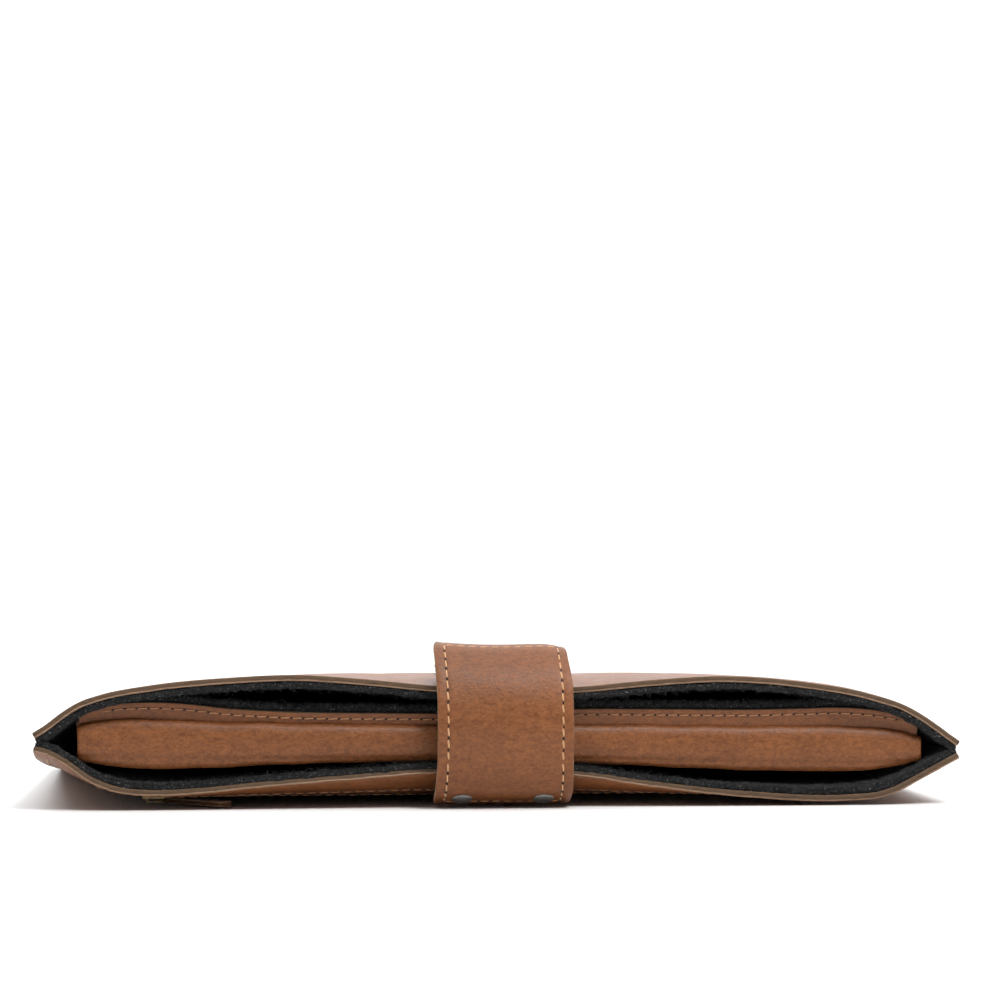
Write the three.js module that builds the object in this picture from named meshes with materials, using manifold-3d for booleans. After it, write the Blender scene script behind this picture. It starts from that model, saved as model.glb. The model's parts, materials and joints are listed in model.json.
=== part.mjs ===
// Leather laptop sleeve with a closure strap, a laptop flap and a zip pocket.
// Millimetres, +Z up. The sleeve lies on its front panel, with its mouth facing -Y.
// The origin is on the flat underside of the front panel, in the middle of the width.
import * as THREE from 'three';
import * as BufferGeometryUtils from 'three/addons/utils/BufferGeometryUtils.js';
import Module from 'manifold-3d';

const wasm = await Module();
wasm.setup();

// Driving dimensions of the sleeve.
const HALF_WIDTH = 177;
const MOUTH_Y = -120;
const FAR_END_Y = 135;
const CORNER_RADIUS = 26;
const LEATHER = 2.3;
const FELT = 2.4;
const SEAM_FELT = 0.8;
const GAP = 0.3;
const LINING_GAP = 0.4;
const DEPTH = FAR_END_Y - MOUTH_Y;

// Heights of the outer shape above the surface it rests on.
const SEAM_HEIGHT_MOUTH = 23.8;
const HALF_SEAM = 3.8;
const CREST_MOUTH = 50;
const CREST_FAR = 40;
const MOUTH_LIFT = 3.2;
const MOUTH_TWIST = 2.4;
const UPPER_PINCH = 4.6;
const LOWER_PINCH = 8.4;
const FLAT_SNAP = 0.02;

// Divider and laptop flap.
const DIVIDER_HALF_WIDTH = 160;
const DIVIDER_LEATHER = 2.0;
const DIVIDER_FELT = 2.4;
const DIVIDER_FRONT_Y = -114.6;
const DIVIDER_FELT_HALF_WIDTH = 142;
const DIVIDER_SHARE_MOUTH = 0.75;
const DIVIDER_SHARE_FAR = 0.68;
const FULL_SECTION_X = 76;
const FLAP_HALF_LENGTH = 156.5;
const FLAP_MIDDLE_Z = 24.1;
const FLAP_HEIGHT = 14.4;
const FLAP_FRONT_Y = -117;
const FLAP_DEPTH = 6.4;
const FLAP_SLOPE = 0.0127;
const FLAP_LEATHER = 2.0;
const FLAP_ROOT_HEIGHT = 3.6;
const FLAP_ROOT_LENGTH = 286;

// Closure strap: the swinging part turns about an edge at the top of its bend.
const STRAP_WIDTH = 52;
const STRAP_LEATHER = 1.8;
const STRAP_LINING = 1.5;
const HINGE_Y = -110;
const HINGE_Z = 63.2;
const STRAP_ROOT_FAR_Y = -34;
const STRAP_ROOT_WIDTH = 44;
const SNAP_OFFSET_X = 15.6;
const SNAP_Y = -118.6;
const SNAP_Z = 6.3;
const SNAP_TILT = 27;

// Zip of the pocket in the front panel.
const ZIP_Y = -88;
const ZIP_LEFT_X = -142;
const ZIP_RIGHT_X = 58;
const ZIP_WINDOW = 11.5;
const ZIP_FACE_Z = 3.2;
const SLIDER_X = -132;

const COLOURS = {
  leather: { color: 0x965f3e, roughness: 0.55, metalness: 0 },
  darkLeather: { color: 0x6e452c, roughness: 0.65, metalness: 0 },
  felt: { color: 0x202224, roughness: 1, metalness: 0 },
  tape: { color: 0x3a2a20, roughness: 0.9, metalness: 0 },
  nickel: { color: 0x8b8781, roughness: 0.35, metalness: 1 },
  brass: { color: 0xa08754, roughness: 0.3, metalness: 1 },
};

const sleeve = new THREE.Group();

function addPart(name, geometry, look, parent = sleeve) {
  const mesh = new THREE.Mesh(geometry, new THREE.MeshStandardMaterial(COLOURS[look]));
  mesh.name = name;
  parent.add(mesh);
  return mesh;
}

// ---- Outer shape -------------------------------------------------------------------------

const gauss = (x, width) => Math.exp(-((x / width) ** 2));
const along = (y) => (y - MOUTH_Y) / DEPTH;
const fade = (v, length) => Math.max(0, 1 - v / length) ** 2;
const fromSide = (x) => Math.max(0, HALF_WIDTH - Math.abs(x));

function seamHeight(v) {
  return HALF_SEAM + (SEAM_HEIGHT_MOUTH - HALF_SEAM) * (1 - v) ** 1.3;
}

function twist(x, v) {
  return (-MOUTH_TWIST * x * fade(v, 0.12)) / HALF_WIDTH;
}

// Outer face of the back panel, which is the upper one.
function upperOuter(x, y) {
  const v = along(y);
  const seam = seamHeight(v) + HALF_SEAM;
  const crest = CREST_MOUTH + (CREST_FAR - CREST_MOUTH) * v ** 1.4;
  const side = 1 - Math.exp(-fromSide(x) / 22);
  const end = 1 - Math.exp(-(FAR_END_Y - y) / 12);
  const pinch = UPPER_PINCH * gauss(x, 46) * fade(v, 0.2);
  return seam + (crest - seam) * side * end - pinch + twist(x, v);
}

// Outer face of the front panel, which is the lower one and rests on the ground.
function lowerOuter(x, y) {
  const v = along(y);
  const seam = seamHeight(v) - HALF_SEAM;
  const side = Math.exp(-((fromSide(x) / 20) ** 1.5));
  const lift = MOUTH_LIFT * (1 - THREE.MathUtils.smoothstep(v, 0.14, 0.36));
  const pinch = LOWER_PINCH * gauss(x, 70) * fade(v, 0.09);
  const z = (seam - lift) * side + lift + pinch + twist(x, v);
  return z < FLAT_SNAP ? 0 : z;
}

// A point of a panel layer, moved inwards from the outer face by a distance along its normal.
function layerPoint(outer, inward, x, y, distance) {
  const step = 0.5;
  const inX = Math.min(Math.max(x, step - HALF_WIDTH), HALF_WIDTH - step);
  const inY = Math.min(Math.max(y, MOUTH_Y + step), FAR_END_Y - step);
  const slopeX = (outer(inX + step, y) - outer(inX - step, y)) / (2 * step);
  const slopeY = (outer(x, inY + step) - outer(x, inY - step)) / (2 * step);
  const pressed = 1 - THREE.MathUtils.smoothstep(Math.min(fromSide(x), FAR_END_Y - y), 0, 12);
  const stretch = Math.min(Math.hypot(1, slopeX, slopeY), 1.5);
  return outer(x, y) + inward * distance * THREE.MathUtils.lerp(stretch, 1, pressed);
}

// Half width of the outline at a distance along the sleeve, with round far corners.
function outlineHalfWidth(y, inset) {
  const start = FAR_END_Y - CORNER_RADIUS;
  const drop = Math.max(0, y - start);
  const round = CORNER_RADIUS - Math.sqrt(Math.max(0, CORNER_RADIUS ** 2 - drop ** 2));
  return HALF_WIDTH - round - inset;
}

// A closed solid between two height functions over a grid of rows, each row with its own width.
function sheetSolid(rows, columns, halfWidth, lowFace, highFace) {
  const positions = [];
  const across = columns.length;
  for (const face of [lowFace, highFace]) {
    for (const y of rows) {
      for (const s of columns) {
        const x = s * halfWidth(y);
        positions.push(x, y, face(x, y));
      }
    }
  }
  const indices = [];
  const at = (layer, i, j) => (layer * rows.length + i) * across + j;
  const quad = (a, b, c, d) => indices.push(a, b, c, a, c, d);
  for (let i = 0; i < rows.length - 1; i += 1) {
    for (let j = 0; j < across - 1; j += 1) {
      quad(at(0, i, j), at(0, i + 1, j), at(0, i + 1, j + 1), at(0, i, j + 1));
      quad(at(1, i, j), at(1, i, j + 1), at(1, i + 1, j + 1), at(1, i + 1, j));
    }
    quad(at(0, i, 0), at(1, i, 0), at(1, i + 1, 0), at(0, i + 1, 0));
    quad(at(0, i, across - 1), at(0, i + 1, across - 1), at(1, i + 1, across - 1), at(1, i, across - 1));
  }
  for (let j = 0; j < across - 1; j += 1) {
    quad(at(0, 0, j), at(0, 0, j + 1), at(1, 0, j + 1), at(1, 0, j));
    const last = rows.length - 1;
    quad(at(0, last, j), at(1, last, j), at(1, last, j + 1), at(0, last, j + 1));
  }
  const geometry = new THREE.BufferGeometry();
  geometry.setAttribute('position', new THREE.Float32BufferAttribute(positions, 3));
  geometry.setIndex(indices);
  return geometry;
}

const spread = (low, high, count) =>
  Array.from({ length: count + 1 }, (_, i) => low + ((high - low) * i) / count);

// Grid lines lie closer together towards the side seams and the far end.
const COLUMNS = spread(-1, 1, 28).map((s) => Math.sin((s * Math.PI) / 2) * 0.35 + s * 0.65);
const rowsTo = (far) => [
  ...spread(MOUTH_Y, -84, 4),
  ...spread(-68, FAR_END_Y - CORNER_RADIUS, 8),
  ...[0.3, 0.5, 0.68, 0.83, 0.93, 0.985].map((t) => FAR_END_Y - CORNER_RADIUS + t * (CORNER_RADIUS - FAR_END_Y + far)),
];

// ---- Solids as manifolds, for cuts --------------------------------------------------------

function toManifold(geometry) {
  let plain = geometry.clone();
  plain.deleteAttribute('normal');
  plain.deleteAttribute('uv');
  plain = BufferGeometryUtils.mergeVertices(plain, 1e-4);
  return new wasm.Manifold(new wasm.Mesh({
    numProp: 3,
    vertProperties: new Float32Array(plain.attributes.position.array),
    triVerts: new Uint32Array(plain.index.array),
  }));
}

function fromManifold(solid) {
  const mesh = solid.getMesh();
  const geometry = new THREE.BufferGeometry();
  geometry.setAttribute('position', new THREE.BufferAttribute(mesh.vertProperties, 3));
  geometry.setIndex(new THREE.BufferAttribute(mesh.triVerts, 1));
  return geometry;
}

function box(x, y, z, lengthX, lengthY, lengthZ) {
  return new THREE.BoxGeometry(lengthX, lengthY, lengthZ).translate(x, y, z);
}

// ---- Panels, linings and divider -------------------------------------------------------------

function feltThickness(x, y) {
  const edge = Math.min(HALF_WIDTH - Math.abs(x), FAR_END_Y - y);
  return THREE.MathUtils.lerp(SEAM_FELT, FELT, THREE.MathUtils.smoothstep(edge, 2, 40));
}

const upperInner = (x, y) => layerPoint(upperOuter, -1, x, y, LEATHER + LINING_GAP);
const lowerInner = (x, y) => layerPoint(lowerOuter, 1, x, y, LEATHER + LINING_GAP);
const upperRoof = (x, y) => layerPoint(upperOuter, -1, x, y, LEATHER + LINING_GAP + feltThickness(x, y));
const lowerFloor = (x, y) => layerPoint(lowerOuter, 1, x, y, LEATHER + LINING_GAP + feltThickness(x, y));

function addPanels() {
  const rows = rowsTo(FAR_END_Y);
  const width = (y) => outlineHalfWidth(y, 0);
  const backInner = (x, y) => layerPoint(upperOuter, -1, x, y, LEATHER);
  const back = sheetSolid(rows, COLUMNS, width, backInner, upperOuter);
  addPart('back_panel', back, 'leather');
  const frontInner = (x, y) => layerPoint(lowerOuter, 1, x, y, LEATHER);
  const front = sheetSolid(rows, COLUMNS, width, lowerOuter, frontInner);
  const zipMiddle = (ZIP_LEFT_X + ZIP_RIGHT_X) / 2;
  const zipWindow = box(zipMiddle, ZIP_Y, ZIP_FACE_Z, ZIP_RIGHT_X - ZIP_LEFT_X, ZIP_WINDOW, 12);
  addPart('front_panel', fromManifold(toManifold(front).subtract(toManifold(zipWindow))), 'leather');
}

// The pocket behind the zip window: a thin cloth bag between the front panel and its felt.
const POCKET = { left: -150, right: 66, front: -104, far: 40, thickness: 0.6, room: 3.2, margin: 13 };

function pocketRoom(x, y) {
  const inX = Math.min(x - POCKET.left, POCKET.right - x) + POCKET.margin;
  const inY = Math.min(y - POCKET.front, POCKET.far - y) + POCKET.margin;
  return POCKET.room * THREE.MathUtils.smoothstep(Math.min(inX, inY), 0, 16);
}

function addLinings() {
  const rows = rowsTo(FAR_END_Y - 0.6);
  const width = (y) => outlineHalfWidth(y, 0.6);
  addPart('back_lining', sheetSolid(rows, COLUMNS, width, upperRoof, upperInner), 'felt');
  const above = (face) => (x, y) => face(x, y) + pocketRoom(x, y);
  addPart('front_lining', sheetSolid(rows, COLUMNS, width, above(lowerInner), above(lowerFloor)), 'felt');
}

function addPocketBag() {
  const rows = spread(POCKET.front, POCKET.far, 9);
  const columns = spread(POCKET.left, POCKET.right, 14);
  const low = (x, y) => lowerInner(x, y) + (pocketRoom(x, y) - POCKET.thickness) / 2;
  const high = (x, y) => low(x, y) + POCKET.thickness;
  addPart('pocket_bag', sheetSolid(rows, columns, () => 1, low, high), 'tape');
}

// The divider lies level from side to side, and dips only where the lining above comes down to it.
function dividerLow(x, y) {
  const floor = lowerFloor(FULL_SECTION_X, y);
  const room = upperRoof(FULL_SECTION_X, y) - floor;
  const share = THREE.MathUtils.lerp(DIVIDER_SHARE_MOUTH, DIVIDER_SHARE_FAR, along(y));
  const level = floor + share * (room - DIVIDER_LEATHER - DIVIDER_FELT);
  const tilted = level - FLAP_SLOPE * x * fade(Math.max(0, along(y) - 0.04), 0.2);
  return Math.min(tilted, upperRoof(x, y) - DIVIDER_LEATHER - 2 * GAP);
}

function addDivider() {
  const rows = [DIVIDER_FRONT_Y, ...spread(-108, 108, 11), 114];
  const leatherWidth = (y) => Math.min(DIVIDER_HALF_WIDTH, outlineHalfWidth(y, 14));
  const leatherTop = (x, y) => dividerLow(x, y) + DIVIDER_LEATHER;
  const columns = spread(-1, 1, 24);
  addPart('divider_leather', sheetSolid(rows, columns, leatherWidth, dividerLow, leatherTop), 'leather');
  const feltWidth = (y) => Math.min(DIVIDER_FELT_HALF_WIDTH, outlineHalfWidth(y, 38));
  const feltLow = (x, y) => leatherTop(x, y) + GAP;
  const feltTop = (x, y) => Math.min(feltLow(x, y) + DIVIDER_FELT, upperRoof(x, y) - 3 * GAP);
  addPart('divider_felt', sheetSolid(rows, columns, feltWidth, feltLow, feltTop), 'felt');
}

// ---- Laptop flap ------------------------------------------------------------------------------

// A section in the YZ plane, given as [y, z] points, extruded along X.
function prismAlongX(points, length) {
  const shape = new THREE.Shape(points.map(([y, z]) => new THREE.Vector2(y, z)));
  const geometry = new THREE.ExtrudeGeometry(shape, { depth: length, bevelEnabled: false });
  const turn = new THREE.Matrix4().makeBasis(
    new THREE.Vector3(0, 1, 0), new THREE.Vector3(0, 0, 1), new THREE.Vector3(1, 0, 0));
  return geometry.applyMatrix4(turn).translate(-length / 2, 0, 0);
}

// Leather folded to a channel: a front wall with a rounded top and bottom, open at the back.
function flapChannel() {
  const half = FLAP_HEIGHT / 2;
  const outer = [];
  const inner = [];
  const radius = 4.6;
  for (let i = 0; i <= 4; i += 1) {
    const a = (i / 4) * (Math.PI / 2);
    outer.push([radius - radius * Math.sin(a), half - radius + radius * Math.cos(a)]);
    const r = radius - FLAP_LEATHER;
    inner.push([radius - r * Math.sin(a), half - radius + r * Math.cos(a)]);
  }
  const mirror = (points) => points.map(([y, z]) => [y, -z]).reverse();
  const outside = [[FLAP_DEPTH, half], ...outer, ...mirror(outer), [FLAP_DEPTH, -half]];
  const backWall = half - FLAP_LEATHER;
  const inside = [[FLAP_DEPTH, backWall], ...inner, ...mirror(inner), [FLAP_DEPTH, -backWall]];
  return [...outside, ...inside.reverse()];
}

function addFlap() {
  const flap = new THREE.Group();
  flap.position.set(0, FLAP_FRONT_Y, FLAP_MIDDLE_Z);
  flap.rotation.y = FLAP_SLOPE;
  sleeve.add(flap);
  addPart('laptop_flap', prismAlongX(flapChannel(), 2 * FLAP_HALF_LENGTH), 'leather', flap);
  const feltHeight = FLAP_HEIGHT - 2 * (FLAP_LEATHER + 3 * GAP);
  const feltFront = FLAP_LEATHER + GAP + 0.8;
  const feltMiddle = (feltFront + FLAP_DEPTH) / 2;
  const felt = box(0, feltMiddle, 0, 2 * FLAP_HALF_LENGTH - 1, FLAP_DEPTH - feltFront, feltHeight);
  addPart('laptop_flap_felt', felt, 'felt', flap);
  const rootZ = FLAP_HEIGHT / 2 + 0.5 + FLAP_ROOT_HEIGHT / 2;
  addPart('laptop_flap_root', box(0, 0.9, rootZ, FLAP_ROOT_LENGTH, 1.8, FLAP_ROOT_HEIGHT), 'leather', flap);
}

// ---- Closure strap ------------------------------------------------------------------------------

// The strap's inner face from the top bend, over the mouth and under the front panel, as [y, z].
const STRAP_INNER_FACE = [
  [HINGE_Y - 0.4, HINGE_Z - 4], [-114, 58.6], [-121.4, 53], [-127.2, 42.6], [-129.4, 30],
  [-128.4, 20.9], [-126.5, 13.8], [-123.2, 9], [SNAP_Y, SNAP_Z], [-114.8, 4.8], [-112.4, 3.9],
];

// A band of even thickness on the outer side of a curve in the YZ plane.
function band(points, inner, outer) {
  const offset = (distance) => points.map((p, i) => {
    const before = points[Math.max(i - 1, 0)];
    const after = points[Math.min(i + 1, points.length - 1)];
    const tangent = after.clone().sub(before).normalize();
    return [p.x + tangent.y * distance, p.y - tangent.x * distance];
  });
  return [...offset(inner), ...offset(outer).reverse()];
}

function addStrap() {
  const face = STRAP_INNER_FACE.map(([y, z]) => new THREE.Vector2(y, z));
  const points = new THREE.SplineCurve(face).getPoints(32);
  const lining = prismAlongX(band(points, 0, STRAP_LINING), STRAP_WIDTH);
  addPart('strap_lining', lining, 'darkLeather');
  const from = STRAP_LINING + GAP;
  addPart('strap_leather', prismAlongX(band(points, from, from + STRAP_LEATHER), STRAP_WIDTH), 'leather');
}

// The part of the strap behind the bend, sewn to the back panel.
function addStrapRoot() {
  const rest = (y) => upperOuter(0, y) + 3 * GAP;
  const anchor = [-50, -66, -82, -95].map((y) => new THREE.Vector2(y, rest(y)));
  const bend = [[-101.6, 53.8], [-106, 58.2], [HINGE_Y + 0.4, HINGE_Z - 4]];
  const arch = bend.map(([y, z]) => new THREE.Vector2(y, z));
  const start = new THREE.Vector2(STRAP_ROOT_FAR_Y, rest(STRAP_ROOT_FAR_Y));
  const points = new THREE.SplineCurve([start, ...anchor, ...arch]).getPoints(18);
  addPart('strap_root_lining', prismAlongX(band(points, 0, STRAP_LINING), STRAP_ROOT_WIDTH), 'darkLeather');
  const from = STRAP_LINING + GAP;
  const outer = band(points, from, from + STRAP_LEATHER);
  addPart('strap_root_leather', prismAlongX(outer, STRAP_ROOT_WIDTH), 'leather');
}

// A turned part on the axis of a snap, at a distance outwards from the strap's inner face.
function addSnapPart(name, profile, distance, x) {
  const tilt = THREE.MathUtils.degToRad(SNAP_TILT);
  const outwards = new THREE.Vector3(0, -Math.sin(tilt), -Math.cos(tilt));
  const geometry = new THREE.LatheGeometry(profile.map(([r, h]) => new THREE.Vector2(r, h)), 20);
  const part = addPart(name, geometry, 'nickel');
  part.position.set(x, SNAP_Y, SNAP_Z).addScaledVector(outwards, distance);
  part.quaternion.setFromUnitVectors(new THREE.Vector3(0, 1, 0), outwards);
}

function addSnaps() {
  const outerFace = STRAP_LINING + GAP + STRAP_LEATHER;
  const cap = [[0, 0], [4, 0], [4, 0.3], [3, 0.7], [1.4, 0.9], [0, 0.9]];
  const socket = [[0, -0.5], [2.8, -0.5], [3.3, -0.3], [3.3, 0], [0, 0]];
  const stud = [[0, -1.1], [2.4, -1.1], [3, -0.4], [3, 0.4], [1.5, 0.5], [1.3, 0.9], [0, 0.9]];
  for (const [side, x] of [['left', -SNAP_OFFSET_X], ['right', SNAP_OFFSET_X]]) {
    addSnapPart(`snap_cap_${side}`, cap, outerFace + GAP, x);
    addSnapPart(`snap_socket_${side}`, socket, -1.3 * GAP, x);
    addSnapPart(`snap_stud_${side}`, stud, -2.05, x);
  }
}

// ---- Zip ------------------------------------------------------------------------------------------

function addZip() {
  const length = ZIP_RIGHT_X - ZIP_LEFT_X;
  const middle = (ZIP_LEFT_X + ZIP_RIGHT_X) / 2;
  for (const [side, sign] of [['front', -1], ['rear', 1]]) {
    addPart(`zip_teeth_${side}`, box(middle, ZIP_Y + sign * 1.55, 4.55, length - 4, 2.5, 1.9), 'brass');
    addPart(`zip_tape_${side}`, box(middle, ZIP_Y + sign * 2.9, 6.1, length - 1.2, 5.2, 0.5), 'tape');
  }
}

function addSlider() {
  const slider = new THREE.Group();
  slider.position.set(SLIDER_X, ZIP_Y, 0);
  sleeve.add(slider);
  const plate = toManifold(box(0, 0, 2.6, 10, 8.8, 1.2));
  const flanges = [-1, 1].map((sign) => toManifold(box(0, sign * 3.85, 4, 10, 1.1, 3.2)));
  const posts = [-1, 1].map((sign) => toManifold(box(sign * 3, 0, 1.2, 0.8, 1, 2.2)));
  const bar = toManifold(box(0, 0, 0.45, 7, 1.6, 0.5));
  const whole = [...flanges, ...posts, bar].reduce((solid, piece) => solid.add(piece), plate);
  addPart('zip_slider', fromManifold(whole), 'brass', slider);
  const pull = new THREE.Group();
  pull.position.set(3, 0, 0);
  pull.rotation.z = -Math.PI / 4;
  slider.add(pull);
  const ring = new THREE.TorusGeometry(3.1, 0.45, 8, 20).translate(1.7, 0, 1.32);
  addPart('zip_pull_ring', ring, 'brass', pull);
  addPart('zip_pull_tab', box(18.3, 0, 1.3, 25, 5.6, 1.9), 'darkLeather', pull);
}

addPanels();
addLinings();
addPocketBag();
addDivider();
addFlap();
addStrap();
addStrapRoot();
addSnaps();
addZip();
addSlider();

export default sleeve;
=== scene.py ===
import json
import math

import bmesh
import bpy
import numpy as np
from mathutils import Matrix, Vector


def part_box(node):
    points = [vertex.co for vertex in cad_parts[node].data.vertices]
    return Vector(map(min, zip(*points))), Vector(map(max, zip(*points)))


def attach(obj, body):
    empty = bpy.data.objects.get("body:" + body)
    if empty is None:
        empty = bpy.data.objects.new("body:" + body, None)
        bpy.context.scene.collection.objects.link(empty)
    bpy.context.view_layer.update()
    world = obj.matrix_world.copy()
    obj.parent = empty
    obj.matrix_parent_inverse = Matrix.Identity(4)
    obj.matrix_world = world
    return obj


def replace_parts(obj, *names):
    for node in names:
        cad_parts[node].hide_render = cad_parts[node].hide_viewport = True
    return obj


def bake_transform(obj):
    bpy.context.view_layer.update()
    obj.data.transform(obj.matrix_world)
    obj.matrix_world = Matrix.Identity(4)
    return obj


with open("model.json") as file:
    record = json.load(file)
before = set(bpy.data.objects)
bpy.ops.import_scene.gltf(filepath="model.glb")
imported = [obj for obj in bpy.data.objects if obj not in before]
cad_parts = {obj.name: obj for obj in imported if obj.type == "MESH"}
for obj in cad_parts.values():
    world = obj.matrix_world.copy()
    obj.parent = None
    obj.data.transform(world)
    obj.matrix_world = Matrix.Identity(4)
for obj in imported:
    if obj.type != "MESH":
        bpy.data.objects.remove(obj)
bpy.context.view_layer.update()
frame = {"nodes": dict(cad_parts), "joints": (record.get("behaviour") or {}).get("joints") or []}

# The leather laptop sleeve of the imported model. Shapes are worked out in millimetres and
# stored in metres. The mouth faces -Y, the sleeve lies on its front panel at z = 0.
MM = 0.001
RNG = np.random.default_rng(11)


def box_mm(node):
    low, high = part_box(node)
    return np.array(low) / MM, np.array(high) / MM


def hinge_mm(name):
    joint = next(j for j in frame["joints"] if j["name"] == name)
    return np.array(joint["pos_m"]) / MM


PANEL_LOW, PANEL_HIGH = box_mm("back_panel")
HALF_WIDTH = PANEL_HIGH[0]
MOUTH_Y = PANEL_LOW[1]
FAR_Y = PANEL_HIGH[1]
DEPTH = FAR_Y - MOUTH_Y
CORNER_RADIUS = 26.0
LEATHER = 2.3
FELT = 2.6
HALF_SEAM = 3.7
SEAM_HEIGHT_MOUTH = 23.8
CREST_FAR = 40.0
SEAM_INSET = 4.6
STITCH_PITCH = 4.5
FLOOR_LEVEL = -0.45

# ---- Small numeric helpers ---------------------------------------------------------------


def smooth(value, low, high):
    t = np.clip((value - low) / (high - low), 0, 1)
    return t * t * (3 - 2 * t)


def curve_through(points):
    """A smooth function through a few [position, value] points."""
    at, value = np.array(points, float).T
    slope = np.gradient(value, at)

    def evaluate(x):
        x = np.clip(x, at[0], at[-1])
        i = np.clip(np.searchsorted(at, x) - 1, 0, len(at) - 2)
        width = at[i + 1] - at[i]
        t = (x - at[i]) / width
        first = (1 + 2 * t) * (1 - t) ** 2 * value[i] + t * (1 - t) ** 2 * width * slope[i]
        second = t * t * (3 - 2 * t) * value[i + 1] - t * t * (1 - t) * width * slope[i + 1]
        return first + second

    return evaluate


def resample(points, count):
    """Evenly spaced points along a smooth curve through the given ones, with its length."""
    points = np.array(points, float)
    span = np.r_[0, np.cumsum(np.linalg.norm(np.diff(points, axis=0), axis=1))]
    axes = [curve_through(np.c_[span, points[:, k]]) for k in range(points.shape[1])]
    fine = np.linspace(0, span[-1], 2000)
    dense = np.stack([axis(fine) for axis in axes], 1)
    length = np.r_[0, np.cumsum(np.linalg.norm(np.diff(dense, axis=0), axis=1))]
    even = np.linspace(0, length[-1], count)
    places = np.stack([np.interp(even, length, dense[:, k]) for k in range(points.shape[1])], 1)
    return places, length[-1]


def unit(vectors):
    return vectors / np.maximum(np.linalg.norm(vectors, axis=-1, keepdims=True), 1e-9)


def grid_normals(grid):
    along_rows = np.gradient(grid, axis=0)
    along_columns = np.gradient(grid, axis=1)
    return unit(np.cross(along_columns, along_rows))


# ---- Mesh building -----------------------------------------------------------------------


def make_piece(name, verts, faces, finishes, face_finish=None, attributes=None, smooth_shading=True):
    """A mesh object from millimetre vertices, with one material index for each face."""
    mesh = bpy.data.meshes.new(name)
    mesh.from_pydata((np.asarray(verts, float) * MM).tolist(), [], [list(f) for f in faces])
    for finish in finishes:
        mesh.materials.append(finish)
    if face_finish is not None:
        mesh.polygons.foreach_set("material_index", np.asarray(face_finish, np.int32))
    for key, values in (attributes or {}).items():
        mesh.attributes.new(key, "FLOAT", "POINT").data.foreach_set("value", np.asarray(values, np.float32))
    shell = bmesh.new()
    shell.from_mesh(mesh)
    bmesh.ops.recalc_face_normals(shell, faces=shell.faces)
    shell.to_mesh(mesh)
    shell.free()
    mesh.polygons.foreach_set("use_smooth", np.full(len(mesh.polygons), smooth_shading))
    mesh.update()
    piece = bpy.data.objects.new(name, mesh)
    bpy.context.scene.collection.objects.link(piece)
    return piece


def boundary_edges(kept):
    """Edges of the kept grid cells that border on no other kept cell, as vertex index pairs."""
    rows, columns = kept.shape
    padded = np.zeros((rows + 2, columns + 2), bool)
    padded[1:-1, 1:-1] = kept
    edges = []
    across = columns + 1
    for i, j in zip(*np.nonzero(kept)):
        corner = i * across + j
        if not padded[i, j + 1]:
            edges.append((corner, corner + 1))
        if not padded[i + 2, j + 1]:
            edges.append((corner + across + 1, corner + across))
        if not padded[i + 1, j]:
            edges.append((corner + across, corner))
        if not padded[i + 1, j + 2]:
            edges.append((corner + 1, corner + across + 1))
    return edges


def sheet_piece(name, middle, thickness, finishes, rim=0.4, rim_steps=6, kept=None, square=0.7):
    """A closed sheet around a grid of middle points, with a rounded cut edge.
    finishes are the materials of the face on the normal's side, the other face, and the edge."""
    rows, columns = middle.shape[:2]
    kept = np.ones((rows - 1, columns - 1), bool) if kept is None else kept
    normal = grid_normals(middle)
    half = np.broadcast_to(np.asarray(thickness, float) / 2, (rows, columns))[..., None]
    flat_middle, flat_normal, flat_half = (a.reshape(-1, a.shape[-1]) for a in (middle, normal, half))
    top = flat_middle + flat_normal * flat_half
    bottom = flat_middle - flat_normal * flat_half
    count = rows * columns
    cell_i, cell_j = np.nonzero(kept)
    corner = cell_i * columns + cell_j
    quads = np.stack([corner, corner + 1, corner + columns + 1, corner + columns], 1)
    edges = boundary_edges(kept)
    inward = np.zeros((count, 3))
    centres = flat_middle[quads].mean(1)
    for k in range(4):
        np.add.at(inward, quads[:, k], unit(centres - flat_middle[quads[:, k]]))
    border = np.array(sorted({v for e in edges for v in e}))
    slot_of = {v: k for k, v in enumerate(border)}
    out = -inward[border]
    out -= (out * flat_normal[border]).sum(1, keepdims=True) * flat_normal[border]
    out = unit(out)
    rings, across = [], []
    for step in range(1, rim_steps):
        angle = math.pi * step / rim_steps
        up = math.copysign(abs(math.cos(angle)) ** square, math.cos(angle))
        away = math.sin(angle) ** square
        rings.append(flat_middle[border] + flat_normal[border] * flat_half[border] * up + out * rim * away)
        across.append(np.full(len(border), (1 - up) / 2))
    verts = np.concatenate([top, bottom, *rings])
    depth = np.concatenate([np.zeros(count), np.ones(count), *across])
    faces = [tuple(q) for q in quads] + [tuple(q[::-1] + count) for q in quads]
    face_finish = [0] * len(quads) + [1] * len(quads)

    def ring_vertex(v, step):
        if step == 0:
            return v
        if step == rim_steps:
            return v + count
        return 2 * count + (step - 1) * len(border) + slot_of[v]

    for a, b in edges:
        for step in range(rim_steps):
            low_a, low_b = ring_vertex(a, step), ring_vertex(b, step)
            high_a, high_b = ring_vertex(a, step + 1), ring_vertex(b, step + 1)
            faces.append((low_b, low_a, high_a, high_b))
            face_finish.append(2)
    used = np.zeros(len(verts), bool)
    used[np.array([v for f in faces for v in f])] = True
    renumber = np.cumsum(used) - 1
    faces = [tuple(int(renumber[v]) for v in f) for f in faces]
    return make_piece(name, verts[used], faces, finishes, face_finish, {"across": depth[used]})


def many_copies(template, faces, frames, origins):
    """Copies of a template at each origin, turned by each 3 by 3 frame."""
    placed = np.einsum("nij,kj->nki", frames, template) + origins[:, None, :]
    shifted = [tuple(v + n * len(template) for v in f) for n in range(len(origins)) for f in faces]
    return placed.reshape(-1, 3), shifted


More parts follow.
